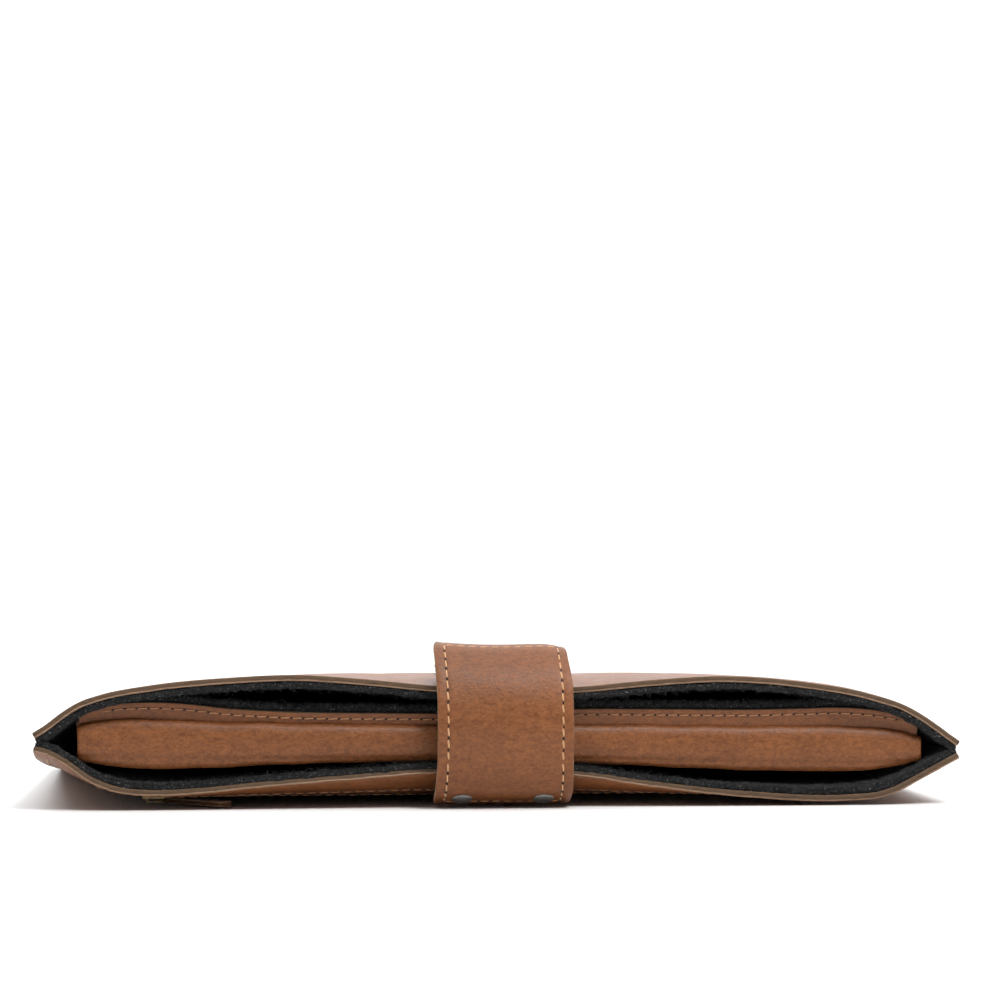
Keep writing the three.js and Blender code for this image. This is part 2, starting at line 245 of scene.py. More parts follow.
def tube_faces(rings, sides):
    faces = []
    for r in range(rings - 1):
        for s in range(sides):
            t = (s + 1) % sides
            faces.append((r * sides + s, r * sides + t, (r + 1) * sides + t, (r + 1) * sides + s))
    faces.append(tuple(range(sides))[::-1])
    faces.append(tuple((rings - 1) * sides + s for s in range(sides)))
    return faces


def stitch_row(name, points, normals, body, blend=None, length=3.6, radius=0.34, lean=0.07, thread=None):
    """A row of thread stitches along points on a surface, each sinking into its needle holes, which are flat
    near-black discs of painted shade.
    """
    points, normals = np.asarray(points, float), np.asarray(normals, float)
    span = np.r_[0, np.cumsum(np.linalg.norm(np.diff(points, axis=0), axis=1))]
    count = max(1, int(round(span[-1] / STITCH_PITCH)))
    at = (np.arange(count) + 0.5) * span[-1] / count

    def pick(values, where):
        return np.stack([np.interp(where, span, values[:, k]) for k in range(3)], 1)

    centre = pick(points, at)
    forward = unit(pick(points, at + 0.8) - pick(points, at - 0.8))
    tangent = forward
    normal = pick(normals, at)
    normal = unit(normal - (normal * tangent).sum(1, keepdims=True) * tangent)
    side = np.cross(normal, tangent)
    tangent = unit(tangent + lean * side)
    side = np.cross(normal, tangent)
    rings, sides = 7, 8
    template = []
    for r in range(rings):
        u = r / (rings - 1) * 2 - 1
        height = 0.34 * math.sqrt(max(0, 1 - u ** 4)) - 0.3
        girth = radius * (1 - 0.35 * abs(u) ** 3)
        for s in range(sides):
            a = 2 * math.pi * s / sides
            template.append((u * length / 2, girth * math.cos(a), height + girth * 0.8 * math.sin(a)))
    frames = np.stack([tangent, side, normal], 2)
    verts, faces = many_copies(np.array(template), tube_faces(rings, sides), frames, centre)
    row = make_piece(name, verts, faces, [thread or THREAD])
    # Flat near-black discs between the stitches: painted shade of the needle holes, not real holes.
    long, wide = 1.9 * radius, 1.5 * radius
    turns = [k * math.pi / 4 for k in range(8)]
    hole = [(long * math.cos(a), wide * math.sin(a), 0.03) for a in turns]
    hole += [(x * 0.5, y * 0.5, 0.06) for x, y, _ in hole]
    hole_faces = [(k, (k + 1) % 8, 8 + (k + 1) % 8, 8 + k) for k in range(8)] + [tuple(range(8, 16))]
    between = centre + forward * (STITCH_PITCH / 2)
    pits, pit_faces = many_copies(np.array(hole), hole_faces, frames, between)
    holes = make_piece(name + "_hole_shade", pits, pit_faces, [NEEDLE_HOLE_SHADE])
    for piece in (row, holes):
        if blend:
            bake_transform(piece)
        else:
            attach(piece, body)


# ---- Materials ---------------------------------------------------------------------------


class Finish:
    """A material being wired: short calls for the nodes that the finishes share."""

    def __init__(self, name):
        self.material = bpy.data.materials.new(name)
        self.material.use_nodes = True
        self.nodes = self.material.node_tree.nodes
        self.links = self.material.node_tree.links
        self.shader = self.nodes["Principled BSDF"]
        self.place = self.nodes.new("ShaderNodeTexCoord").outputs["Object"]
        self.height = None

    def link(self, source, target):
        self.links.new(source, target)
        return self

    def stretched(self, scale):
        mapping = self.nodes.new("ShaderNodeMapping")
        mapping.inputs["Scale"].default_value = scale
        self.link(self.place, mapping.inputs["Vector"])
        return mapping.outputs["Vector"]

    def noise(self, scale, detail=4.0, roughness=0.6, vector=None, distortion=0.0):
        node = self.nodes.new("ShaderNodeTexNoise")
        node.inputs["Scale"].default_value = scale
        node.inputs["Detail"].default_value = detail
        node.inputs["Roughness"].default_value = roughness
        node.inputs["Distortion"].default_value = distortion
        self.link(vector or self.place, node.inputs["Vector"])
        return node.outputs["Fac"]

    def cells(self, scale, feature="F1", vector=None):
        node = self.nodes.new("ShaderNodeTexVoronoi")
        node.feature = feature
        node.inputs["Scale"].default_value = scale
        self.link(vector or self.place, node.inputs["Vector"])
        return node.outputs["Distance"]

    def ramp(self, value, stops):
        node = self.nodes.new("ShaderNodeValToRGB")
        elements = node.color_ramp.elements
        while len(elements) < len(stops):
            elements.new(0.5)
        for element, (position, colour) in zip(elements, stops):
            element.position = position
            element.color = (*colour, 1) if len(colour) == 3 else colour
        self.link(value, node.inputs["Fac"])
        return node.outputs["Color"]

    def levels(self, value, low, high, to_low, to_high):
        node = self.nodes.new("ShaderNodeMapRange")
        for key, number in (("From Min", low), ("From Max", high), ("To Min", to_low), ("To Max", to_high)):
            node.inputs[key].default_value = number
        self.link(value, node.inputs["Value"])
        return node.outputs["Result"]

    def mix(self, kind, factor, first, second):
        node = self.nodes.new("ShaderNodeMix")
        node.data_type = "RGBA"
        node.blend_type = kind
        for socket, value in ((node.inputs[0], factor), (node.inputs[6], first), (node.inputs[7], second)):
            if isinstance(value, bpy.types.NodeSocket):
                self.link(value, socket)
            else:
                socket.default_value = value if isinstance(value, float) else (*value, 1)
        return node.outputs[2]

    def math(self, operation, first, second):
        node = self.nodes.new("ShaderNodeMath")
        node.operation = operation
        for socket, value in zip(node.inputs, (first, second)):
            if isinstance(value, bpy.types.NodeSocket):
                self.link(value, socket)
            else:
                socket.default_value = value
        return node.outputs[0]

    def bump(self, value, strength, distance):
        node = self.nodes.new("ShaderNodeBump")
        node.inputs["Strength"].default_value = strength
        node.inputs["Distance"].default_value = distance
        self.link(value, node.inputs["Height"])
        if self.height:
            self.link(self.height, node.inputs["Normal"])
        self.height = node.outputs["Normal"]
        return self

    def finish(self, colour, roughness, **constants):
        for key, value in (("Base Color", colour), ("Roughness", roughness)):
            if isinstance(value, bpy.types.NodeSocket):
                self.link(value, self.shader.inputs[key])
            else:
                self.shader.inputs[key].default_value = value if isinstance(value, float) else (*value, 1)
        if self.height:
            self.link(self.height, self.shader.inputs["Normal"])
        for key, value in constants.items():
            self.shader.inputs[key.replace("_", " ").title().replace("Ior", "IOR")].default_value = value
        return self.material


def scaled(colour, factor):
    return tuple(c * factor for c in colour)


def leather_finish(name, colour, grain=1.0, gloss=0.42):
    """Vegetable-tanned leather: mottled colour, fine pores and faint creases."""
    f = Finish(name)
    clouds = f.noise(22, 5, 0.6)
    mottle = f.noise(240, 5, 0.7, f.stretched((0.8, 1.3, 1.6)), 0.6)
    pores = f.cells(1250)
    fine = f.noise(1500, 3, 0.7)
    crease = f.cells(260, "DISTANCE_TO_EDGE", f.stretched((1.0, 1.7, 1.3)))
    base = f.ramp(clouds, [(0.3, scaled(colour, 0.88)), (0.5, colour), (0.72, scaled(colour, 1.12))])
    spots = f.ramp(mottle, [(0.3, (0.74, 0.68, 0.64)), (0.5, (1, 1, 1)), (0.72, (1.22, 1.2, 1.16))])
    tone = f.mix("MULTIPLY", 0.9, base, spots)
    wrinkles = f.noise(780, 4, 0.62, f.stretched((0.75, 1.0, 1.25)), 0.8)
    grains = f.ramp(wrinkles, [(0.34, (0.7, 0.66, 0.62)), (0.5, (1, 1, 1)), (0.68, (1.24, 1.22, 1.2))])
    tone = f.mix("MULTIPLY", 0.85 * grain, tone, grains)
    pits = f.ramp(pores, [(0.06, (0.55, 0.5, 0.46)), (0.3, (1, 1, 1))])
    tone = f.mix("MULTIPLY", 0.5 * grain, tone, pits)
    f.bump(crease, 0.2 * grain, 0.0003).bump(wrinkles, 0.5 * grain, 0.0003)
    f.bump(pores, 0.25 * grain, 0.00016).bump(fine, 0.3 * grain, 0.00008)
    shine = f.levels(mottle, 0.3, 0.7, gloss - 0.06, gloss + 0.12)
    return f.finish(tone, shine, specular_ior_level=0.28, coat_weight=0.03, coat_roughness=0.3)


def cut_edge_finish(name, dark, light):
    """The raw cut edge of leather: dark fibres in fine striations, with a pale band near the other face that
    is a painted highlight of the lit rim there.
    """
    f = Finish(name)
    across = f.nodes.new("ShaderNodeAttribute")
    across.attribute_name = "across"
    layer = across.outputs["Fac"]
    wobble = f.levels(f.noise(160, 3, 0.6), 0.3, 0.7, -0.07, 0.07)
    layer = f.math("ADD", layer, wobble)
    # The pale band from 0.76 to 0.9 across is painted highlight: the lit rim of the edge next to the other
    # face, not a colour of the leather.
    bands = f.ramp(layer, [
        (0.0, scaled(dark, 1.2)), (0.12, dark), (0.66, scaled(dark, 0.82)),
        (0.76, light), (0.9, light), (1.0, scaled(dark, 1.1)),
    ])
    fibres = f.noise(1.0, 4, 0.75, f.stretched((260, 900, 3800)))
    streaks = f.ramp(fibres, [(0.3, (0.5, 0.48, 0.45)), (0.5, (1, 1, 1)), (0.72, (1.5, 1.42, 1.35))])
    tone = f.mix("MULTIPLY", 0.9, bands, streaks)
    f.bump(fibres, 0.55, 0.00018).bump(f.noise(1400, 3), 0.35, 0.00015)
    return f.finish(tone, 0.78, specular_ior_level=0.25)


def suede_finish(name, colour):
    """The rough flesh side of leather."""
    f = Finish(name)
    nap = f.noise(900, 5, 0.75)
    tone = f.ramp(nap, [(0.3, scaled(colour, 0.65)), (0.55, colour), (0.8, scaled(colour, 1.35))])
    f.bump(nap, 0.6, 0.0003)
    return f.finish(tone, 0.92, sheen_weight=0.2, sheen_roughness=0.5)


def felt_finish(name, colour, fleck):
    """Pressed wool felt: matted fibres with a few pale flecks."""
    f = Finish(name)
    matt = f.noise(520, 6, 0.8, distortion=1.4)
    threads = f.noise(1.0, 5, 0.8, f.stretched((500, 2100, 1500)), 2.0)
    specks = f.noise(1.0, 3, 0.8, f.stretched((1100, 3000, 2300)), 1.0)
    flecks = f.ramp(specks, [(0.6, (0, 0, 0)), (0.68, (1, 1, 1))])
    base = f.ramp(matt, [(0.3, scaled(colour, 0.45)), (0.52, colour), (0.78, scaled(colour, 1.9))])
    tone = f.mix("MIX", flecks, base, fleck)
    f.bump(matt, 0.9, 0.0008).bump(threads, 0.8, 0.0004)
    return f.finish(tone, 0.97, sheen_weight=0.06, sheen_roughness=0.6, specular_ior_level=0.08)


def thread_finish(name, colour):
    """Twisted waxed thread."""
    f = Finish(name)
    twist = f.nodes.new("ShaderNodeTexWave")
    twist.inputs["Scale"].default_value = 520
    twist.inputs["Distortion"].default_value = 1.5
    f.link(f.stretched((1.0, 1.0, 1.6)), twist.inputs["Vector"])
    strands = twist.outputs["Fac"]
    tone = f.ramp(strands, [(0.1, scaled(colour, 0.5)), (0.5, colour), (0.9, scaled(colour, 1.2))])
    f.bump(strands, 0.6, 0.00012)
    return f.finish(tone, 0.6, sheen_weight=0.15)


def metal_finish(name, colour, roughness, wear):
    """Plated metal with fine scratches and duller worn patches."""
    f = Finish(name)
    patches = f.noise(420, 5, 0.7)
    scratches = f.noise(1.0, 3, 0.6, f.stretched((400, 6000, 900)))
    tone = f.ramp(patches, [(0.3, scaled(colour, wear)), (0.6, colour), (0.85, scaled(colour, 1.25))])
    dull = f.levels(patches, 0.3, 0.75, roughness + 0.18, roughness)
    f.bump(scratches, 0.12, 0.00005).bump(patches, 0.15, 0.0001)
    return f.finish(tone, dull, metallic=1.0)


def cloth_finish(name, colour):
    """Fine twill cloth, woven from crossing ribs."""
    f = Finish(name)
    ribs = f.nodes.new("ShaderNodeTexWave")
    ribs.inputs["Scale"].default_value = 900
    ribs.bands_direction = "DIAGONAL"
    f.link(f.place, ribs.inputs["Vector"])
    lint = f.ramp(f.noise(1800, 2), [(0.3, (0.5, 0.5, 0.5)), (0.7, (1.2, 1.2, 1.2))])
    weave = f.mix("MULTIPLY", 0.6, ribs.outputs["Color"], lint)
    dye = f.ramp(f.noise(300, 3), [(0.3, scaled(colour, 0.7)), (0.7, scaled(colour, 1.3))])
    relief = f.ramp(weave, [(0.0, (0.6, 0.6, 0.6)), (0.8, (1.3, 1.3, 1.3))])
    tone = f.mix("MULTIPLY", 1.0, dye, relief)
    f.bump(weave, 0.5, 0.0002)
    return f.finish(tone, 0.9, sheen_weight=0.1)


COGNAC = (0.185, 0.064, 0.020)
LEATHER_GRAIN = leather_finish("leather_cognac", COGNAC)
FLAP_GRAIN = leather_finish("leather_flap", scaled(COGNAC, 1.03), 1.1, 0.4)
TAB_GRAIN = leather_finish("leather_tab", scaled(COGNAC, 0.62), 1.0, 0.5)
# The second colour of each cut edge is its band of painted highlight.
CUT_EDGE = cut_edge_finish("leather_cut_edge", (0.105, 0.064, 0.037), (0.27, 0.17, 0.11))
STRAP_EDGE = cut_edge_finish("strap_cut_edge", (0.13, 0.07, 0.035), (0.32, 0.2, 0.13))
SUEDE = suede_finish("leather_flesh_side", (0.17, 0.088, 0.048))
FELT_BLACK = felt_finish("felt_charcoal", (0.0135, 0.0137, 0.0143), (0.34, 0.34, 0.33))
THREAD = thread_finish("waxed_thread", (0.66, 0.36, 0.165))
# The same waxed thread darkened to about 0.6 of its colour: painted shade, for the stitch rows that sit in
# shade (flap margin, front panel underside).
THREAD_PAINTED_SHADE = thread_finish("waxed_thread_painted_shade", (0.42, 0.20, 0.09))
# Near-black suede for the needle holes: painted shade of a hole's inside, laid on the surface as a flat disc.
NEEDLE_HOLE_SHADE = suede_finish("needle_hole_painted_shade", (0.012, 0.006, 0.004))
NICKEL = metal_finish("dull_nickel", (0.30, 0.29, 0.275), 0.34, 0.7)
BRASS = metal_finish("worn_brass", (0.42, 0.31, 0.15), 0.3, 0.6)
CLOTH = cloth_finish("pocket_cloth", (0.05, 0.031, 0.022))
FIBRE_PALE = felt_finish("felt_fibre_pale", (0.075, 0.075, 0.075), (0.3, 0.3, 0.3))

# ---- Shape of the panels -----------------------------------------------------------------

# The zip: as wide as its slider and as long as its teeth, with 1 mm to spare at each end.
ZIP_LOW, ZIP_HIGH = box_mm("zip_slider")
ZIP_LOW[0], ZIP_HIGH[0] = box_mm("zip_teeth_front")[0][0] - 1, box_mm("zip_teeth_front")[1][0] + 1
WINDOW_MARGIN = 0.8
MOUTH_LIFT = 3.2
LIP_SLOPE = 22

# Heights of the outer faces along the mouth, from the left tip to the right tip.
UPPER_MOUTH = curve_through([
    [-177, 29.3], [-173, 32.0], [-167, 36.6], [-160, 40.8], [-152, 43.5], [-134, 46.8], [-104, 49.6],
    [-80, 50.6], [-54, 49.0], [-26, 46.3], [0, 45.2], [28, 45.6], [57, 48.1], [85, 49.5], [115, 47.3],
    [142, 42.5], [158, 37.1], [170, 29.5], [177, 24.2],
])
LOWER_MOUTH = curve_through([
    [-177, 22.0], [-173, 21.0], [-167, 17.9], [-156, 10.3], [-146, 6.5], [-134, 5.2], [-115, 5.8], [-96, 7.6],
    [-58, 10.5], [-28, 12.6], [0, 12.4], [28, 11.4], [57, 7.2], [95, 2.9], [134, 1.3], [146, 2.3],
    [154, 4.9], [162, 9.1], [170, 13.3], [177, 17.2],
])


def from_mouth(y):
    return np.clip((y - MOUTH_Y) / DEPTH, 0, 1)


def fade(v, length):
    return np.clip(1 - v / length, 0, 1) ** 2


def seam_height(v):
    return HALF_SEAM + (SEAM_HEIGHT_MOUTH - HALF_SEAM) * np.maximum(1 - v, 0) ** 1.3


def side_gap(x, y):
    return np.maximum(outline_half_width(y) - np.abs(x), 0)


def outline_half_width(y):
    drop = np.clip(y - (FAR_Y - CORNER_RADIUS), 0, CORNER_RADIUS)
    return HALF_WIDTH - CORNER_RADIUS + np.sqrt(np.maximum(CORNER_RADIUS ** 2 - drop ** 2, 0))


def ripples(x, y, size):
    """Slight unevenness that leather has when it is filled and handled."""
    slow = np.sin(x / 31 + 1.3) * np.sin(y / 27 + 0.4) + 0.6 * np.sin(x / 17 - y / 23 + 2.1)
    return size * (slow + 0.35 * np.sin(x / 9 + y / 13))


def corner_press(x, y):
    """Falls to 0 at the outline of the two rounded far corners, where the panels are sewn together."""
    across = np.maximum(np.abs(x) - (HALF_WIDTH - CORNER_RADIUS), 0)
    back = np.maximum(y - (FAR_Y - CORNER_RADIUS), 0)
    rim = CORNER_RADIUS - np.hypot(across, back)
    return 1 - (1 - smooth(rim, 0, 12)) * smooth(np.minimum(across, back), 0, 13)


def upper_outer(x, y):
    v = from_mouth(y)
    seam = seam_height(v) + HALF_SEAM
    crest = PANEL_HIGH[2] - 0.5 + (CREST_FAR - PANEL_HIGH[2]) * v ** 1.4
    from_side = np.maximum(HALF_WIDTH - np.abs(x), 0)
    side = 1 - np.exp(-from_side / (LIP_SLOPE + 5 * smooth(v, 0, 0.2)))
    end = 1 - np.exp(-np.maximum(FAR_Y - y, 0) / 12)
    shape = seam + (crest - seam) * side * end * corner_press(x, y)
    lip = seam_height(0.0) + HALF_SEAM
    lip_shape = lip + (PANEL_HIGH[2] - 0.5 - lip) * (1 - np.exp(-from_side / LIP_SLOPE))
    soft = smooth(side_gap(x, y), 6, 40) * smooth(y, MOUTH_Y + 8, MOUTH_Y + 50) * smooth(FAR_Y - y, 4, 40)
    return shape + (UPPER_MOUTH(x) - lip_shape) * fade(v, 0.26) + ripples(x, y, 0.35) * soft


def lower_outer(x, y):
    v = from_mouth(y)
    seam = seam_height(v) - HALF_SEAM
    side = np.exp(-((np.maximum(HALF_WIDTH - np.abs(x), 0) / 20) ** 1.5))
    lift = MOUTH_LIFT * (1 - smooth(v, 0.14, 0.36))
    shape = (seam - lift) * side + lift
    lip_seam = seam_height(0.0) - HALF_SEAM
    lip_shape = (lip_seam - MOUTH_LIFT) * side + MOUTH_LIFT
    return shape + (LOWER_MOUTH(x) - lip_shape) * fade(v, 0.11)


def panel_grid(inset, front_inset=0.0, columns=170):
    """Grid lines over the panel's outline: closer together at the mouth, the sides and the far end."""
    s = np.linspace(-1, 1, columns)
    s = 0.72 * s + 0.28 * np.sin(s * math.pi / 2)
    near = MOUTH_Y + front_inset + np.r_[0, 0.7, 1.6, 3, 5, 7.5, 10.5, 14, 18, 22]
    window = np.array([
        ZIP_LOW[1] - 3.5, ZIP_LOW[1] - WINDOW_MARGIN, ZIP_HIGH[1] + WINDOW_MARGIN, ZIP_HIGH[1] + 3.5,
    ])
    start = FAR_Y - CORNER_RADIUS
    middle = np.linspace(ZIP_HIGH[1] + 9, start, 34)
    far = start + (CORNER_RADIUS - inset) * np.sin(np.linspace(0.08, 1, 16) * math.pi / 2 * 0.985)
    y = np.r_[near, window, middle, far]
    half = outline_half_width(y) - inset
    x = s[None, :] * half[:, None]
    return x, np.broadcast_to(y[:, None], x.shape).copy()


def surface_normal(surface, x, y):
    """Upward normal of a height surface, turned upright where the layers are pressed together."""
    step = 0.4
    dx = (surface(x + step, y) - surface(x - step, y)) / (2 * step)
    dy = (surface(x, y + step) - surface(x, y - step)) / (2 * step)
    normal = unit(np.stack([-dx, -dy, np.ones_like(dx)], -1))
    normal[..., 1] *= smooth(y, MOUTH_Y, MOUTH_Y + 12)
    normal[..., :2] *= smooth(side_gap(x, y), 0, 6)[..., None]
    return unit(normal)


def offset_surface(surface, x, y, distance):
    """Points at a distance from a height surface, along its normal."""
    points = np.stack([x, y, surface(x, y)], -1)
    return points + surface_normal(surface, x, y) * np.asarray(distance)[..., None]


def felt_room(surface, x, y):
    """Thickness of a felt that reaches halfway to the other panel, where the panels come close."""
    half = (upper_outer(x, y) - lower_outer(x, y)) / 2
    return np.clip(half / surface_normal(surface, x, y)[..., 2] - LEATHER - 0.02, 0.5, FELT)


def felt_fuzz(points, size):
    noise = RNG.normal(0, 1, points.shape[:2])
    blurred = (noise + np.roll(noise, 1, 0) + np.roll(noise, 1, 1) + np.roll(noise, -1, 1)) / 2.5
    return points + grid_normals(points) * (blurred * size)[..., None]


def build_panels():
    x, y = panel_grid(0.2)
    middle = offset_surface(upper_outer, x, y, np.full(x.shape, -LEATHER / 2))
    back = sheet_piece("back_panel_leather", middle, LEATHER, [LEATHER_GRAIN, SUEDE, CUT_EDGE])
    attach(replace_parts(back, "back_panel"), "sleeve")
    middle = offset_surface(lower_outer, x, y, np.full(x.shape, LEATHER / 2))
    cell_x, cell_y = (x[:-1, :-1] + x[1:, 1:]) / 2, (y[:-1, :-1] + y[1:, 1:]) / 2
    beside = (cell_x > ZIP_LOW[0]) & (cell_x < ZIP_HIGH[0])
    window = beside & (cell_y > ZIP_LOW[1] - WINDOW_MARGIN) & (cell_y < ZIP_HIGH[1] + WINDOW_MARGIN)
    finishes = [SUEDE, LEATHER_GRAIN, CUT_EDGE]
    front = sheet_piece("front_panel_leather", middle, LEATHER, finishes, kept=~window)
    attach(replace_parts(front, "front_panel"), "sleeve")


def pocket_room(x, y):
    """How far the zip pocket lifts the front felt off the front panel."""
    low, high = box_mm("pocket_bag")
    inside_x = smooth(np.minimum(x - low[0], high[0] - x), -13, 3)
    inside_y = smooth(np.minimum(y - low[1], high[1] - y), -13, 3)
    return 3.2 * inside_x * inside_y


def build_pocket_bag():
    low, high = box_mm("pocket_bag")
    x, y = np.meshgrid(np.linspace(low[0], high[0], 90), np.linspace(low[1], high[1], 60))
    middle = offset_surface(lower_outer, x, y, np.full(x.shape, LEATHER))
    middle[..., 2] += pocket_room(x, y) / 2 + ripples(x * 2, y * 2, 0.12)
    piece = sheet_piece("pocket_cloth_bag", middle, 0.5, [CLOTH] * 3, rim=0.2)
    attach(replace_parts(piece, "pocket_bag"), "sleeve")


def build_linings():
    x, y = panel_grid(0.9, 0.6, 460)
    for side, surface, sign in (("back", upper_outer, -1), ("front", lower_outer, 1)):
        thick = felt_room(surface, x, y)
        middle = offset_surface(surface, x, y, sign * (LEATHER + 0.02 + thick / 2))
        if sign > 0:
            middle[..., 2] += pocket_room(x, y)
        fuzzy = felt_fuzz(middle, 0.3)
        piece = sheet_piece(f"{side}_felt", fuzzy, thick, [FELT_BLACK] * 3, rim=0.5, square=1.0)
        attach(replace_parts(piece, f"{side}_lining"), "sleeve")


# ---- Felt fibres that stand out of a cut edge --------------------------------------------


def fuzz_fibres(name, base, outward, count, body, longest=1.4):
    """Loose wool fibres along a felt edge: thin curled strands rooted on the given line."""
    at = RNG.uniform(0, len(base) - 1.001, count)
    i = at.astype(int)
    root = base[i] + (base[i + 1] - base[i]) * (at - i)[:, None]
    root += RNG.normal(0, 0.55, (count, 3)) * [0.5, 0.3, 1.2]
    aim = unit(outward[i] + RNG.normal(0, 0.9, (count, 3)))
    curl = unit(RNG.normal(0, 1, (count, 3)))
    length = RNG.uniform(0.3, longest, count)
    rings = []
    for t in (0.0, 0.4, 0.75, 1.0):
        centre = root + aim * (length * t)[:, None] + curl * (length * 0.45 * t * t)[:, None]
        side = unit(np.cross(aim, curl))
        other = np.cross(aim, side)
        girth = 0.075 * (1 - 0.6 * t)
        for a in (0, 2 * math.pi / 3, 4 * math.pi / 3):
            rings.append(centre + (side * math.cos(a) + other * math.sin(a)) * girth)
    verts = np.stack(rings, 1).reshape(-1, 3)
    single = tube_faces(4, 3)
    faces = [tuple(v + n * 12 for v in f) for n in range(count) for f in single]
    pale = RNG.random(count) < 0.16
    piece = make_piece(name, verts, faces, [FELT_BLACK, FIBRE_PALE], np.repeat(pale.astype(int), len(single)))
    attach(piece, body)


def build_fibres():
    x = np.linspace(-HALF_WIDTH + 3, HALF_WIDTH - 3, 400)
    y = np.full_like(x, MOUTH_Y + 0.4)
    ahead = np.tile([0, -0.7, 0.0], (400, 1))
    inner = felt_room(upper_outer, x, y)
    roof = np.stack([x, y, UPPER_MOUTH(x) - LEATHER - inner * 0.8], -1)
    floor = np.stack([x, y, LOWER_MOUTH(x) + LEATHER + inner * 0.8], -1)
    fuzz_fibres("back_felt_fibres", roof, ahead - [0, 0, 0.7], 4200, "sleeve")
    fuzz_fibres("front_felt_fibres", floor, ahead + [0, 0, 0.7], 4200, "sleeve")


# ---- Divider and laptop flap -------------------------------------------------------------

FLAP_FRONT = box_mm("laptop_flap")[0][1]
FLAP_LEFT = -160.8
FLAP_RIGHT = 163.2
FLAP_DEPTH = 7.4
MARGIN_Y = FLAP_FRONT + 3.6
DIVIDER_LOW, DIVIDER_HIGH = box_mm("divider_leather")
DIVIDER_HALF = 161
DIVIDER_FELT_HALF = 143
DIVIDER_FAR = 112

DIVIDER_EDGE = curve_through([
    [-161, 36.0], [-156, 37.8], [-148, 39.2], [-136, 39.9], [-122, 39.4], [-104, 37.4], [-88, 36.3],
    [-40, 35.3], [0, 35.2], [30, 36.6], [60, 36.4], [96, 36.0], [118, 36.4], [134, 36.6], [148, 35.2],
    [156, 33.3], [161, 30.6],
])
FLAP_TOP = curve_through([
    [-161, 31.8], [-154, 33.1], [-145, 33.8], [-134, 33.7], [-115, 32.9], [-77, 31.8], [-26, 31.1],
    [38, 30.8], [77, 30.2], [116, 29.8], [136, 29.5], [151, 28.4], [158, 27.2], [161, 26.2],
])
FLAP_BOTTOM = curve_through([
    [-161, 18.2], [-152, 16.7], [-145, 15.6], [-134, 14.9], [-115, 15.2], [-77, 16.4], [-26, 17.2],
    [28, 16.0], [57, 14.6], [96, 12.9], [116, 12.3], [136, 12.3], [151, 13.5], [158, 14.8], [161, 16.0],
])


def divider_level(x, y):
    """Height of the divider's leather top: it leaves its edge at the mouth and sinks towards the far end."""
    v = from_mouth(y)
    far = DIVIDER_HIGH[2] - 0.6 - (DIVIDER_HIGH[2] - DIVIDER_LOW[2] - 6) * v ** 1.5
    edge = DIVIDER_EDGE(x)
    level = far + (edge - far) * fade(v, 0.5)
    roof = upper_outer(x, y) - (LEATHER + FELT) * 1.25 - 2.3
    near = smooth(v, 0.0, 0.06)
    return np.where(roof < level, level + (roof - level) * near, level)


def divider_grid(half, front):
    s = np.linspace(-1, 1, 400)
    y = np.r_[front + np.array([0, 0.8, 2, 4, 7, 11]), np.linspace(front + 18, DIVIDER_FAR, 30)]
    width = np.minimum(half, outline_half_width(y) - 13)
    x = s[None, :] * width[:, None]
    return x, np.broadcast_to(y[:, None], x.shape).copy()


def build_divider():
    leather = 1.9
    x, y = divider_grid(DIVIDER_HALF, MARGIN_Y + 1.0)
    middle = np.stack([x, y, divider_level(x, y) - leather / 2], -1)
    piece = sheet_piece("divider_sheet", middle, leather, [SUEDE, LEATHER_GRAIN, CUT_EDGE])
    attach(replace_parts(piece, "divider_leather"), "sleeve")
    felt = 3.3
    x, y = divider_grid(DIVIDER_FELT_HALF, MARGIN_Y + 1.4)
    thin = felt * smooth(DIVIDER_FELT_HALF + 0.5 - np.abs(x), -1, 6) + 0.3
    middle = np.stack([x, y, divider_level(x, y) + 0.1 + thin / 2], -1)
    fuzzy = felt_fuzz(middle, 0.42)
    piece = sheet_piece("divider_felt_sheet", fuzzy, thin, [FELT_BLACK] * 3, rim=0.6, square=1.0)
    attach(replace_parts(piece, "divider_felt"), "sleeve")
    edge_x = np.linspace(-140, 140, 300)
    line = np.stack([edge_x, np.full(300, MARGIN_Y + 1.2), DIVIDER_EDGE(edge_x) + 2.6], -1)
    fuzz_fibres("divider_felt_fibres", line, np.tile([0, -0.8, 0.6], (300, 1)), 3600, "sleeve", 1.3)


